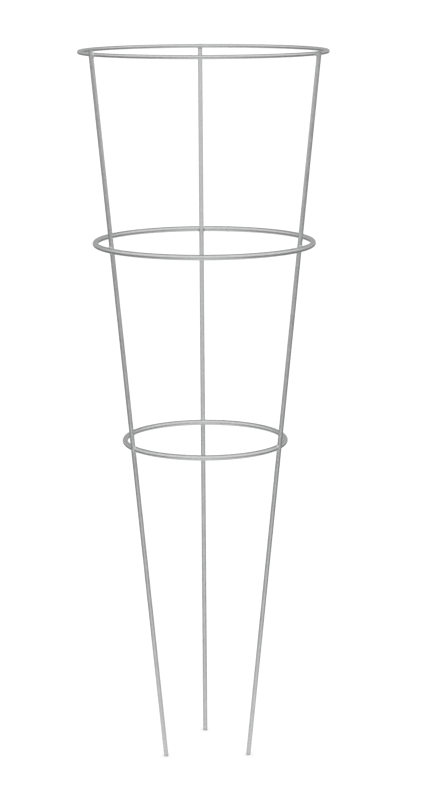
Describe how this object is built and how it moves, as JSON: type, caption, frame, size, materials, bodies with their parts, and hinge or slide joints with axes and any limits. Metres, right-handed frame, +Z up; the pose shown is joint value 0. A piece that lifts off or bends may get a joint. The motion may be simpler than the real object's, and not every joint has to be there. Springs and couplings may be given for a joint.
{
  "type": "tomato cage",
  "caption": "Conical welded wire cage: round hoops, smaller towards the ground, on straight stake legs that push into soil and hold up a growing tomato plant.",
  "frame": {"origin": "on the cage's axis, at the ground that the feet stand on", "axes": "+Z up the cage's axis; the back leg stands on +Y, the left and right legs stand towards -Y, on -X and +X"},
  "size_m": [0.2869, 0.2918, 0.8415],
  "materials": {
    "leg_wire": "drawn steel wire, galvanised, satin",
    "ring_wire": "drawn steel wire bent to a hoop, galvanised, satin",
    "weld": "resistance weld metal, galvanised over, dull"
  },
  "bodies": {
    "root": {"left_leg": "leg_wire", "right_leg": "leg_wire", "back_leg": "leg_wire", "top_ring": "ring_wire", "middle_ring": "ring_wire", "bottom_ring": "ring_wire", "top_ring_seam": "weld", "middle_ring_seam": "weld", "bottom_ring_seam": "weld", "top_left_weld": "weld", "top_right_weld": "weld", "top_back_weld": "weld", "middle_left_weld": "weld", "middle_right_weld": "weld", "middle_back_weld": "weld", "bottom_left_weld": "weld", "bottom_right_weld": "weld", "bottom_back_weld": "weld"}
  },
  "joints": []
}
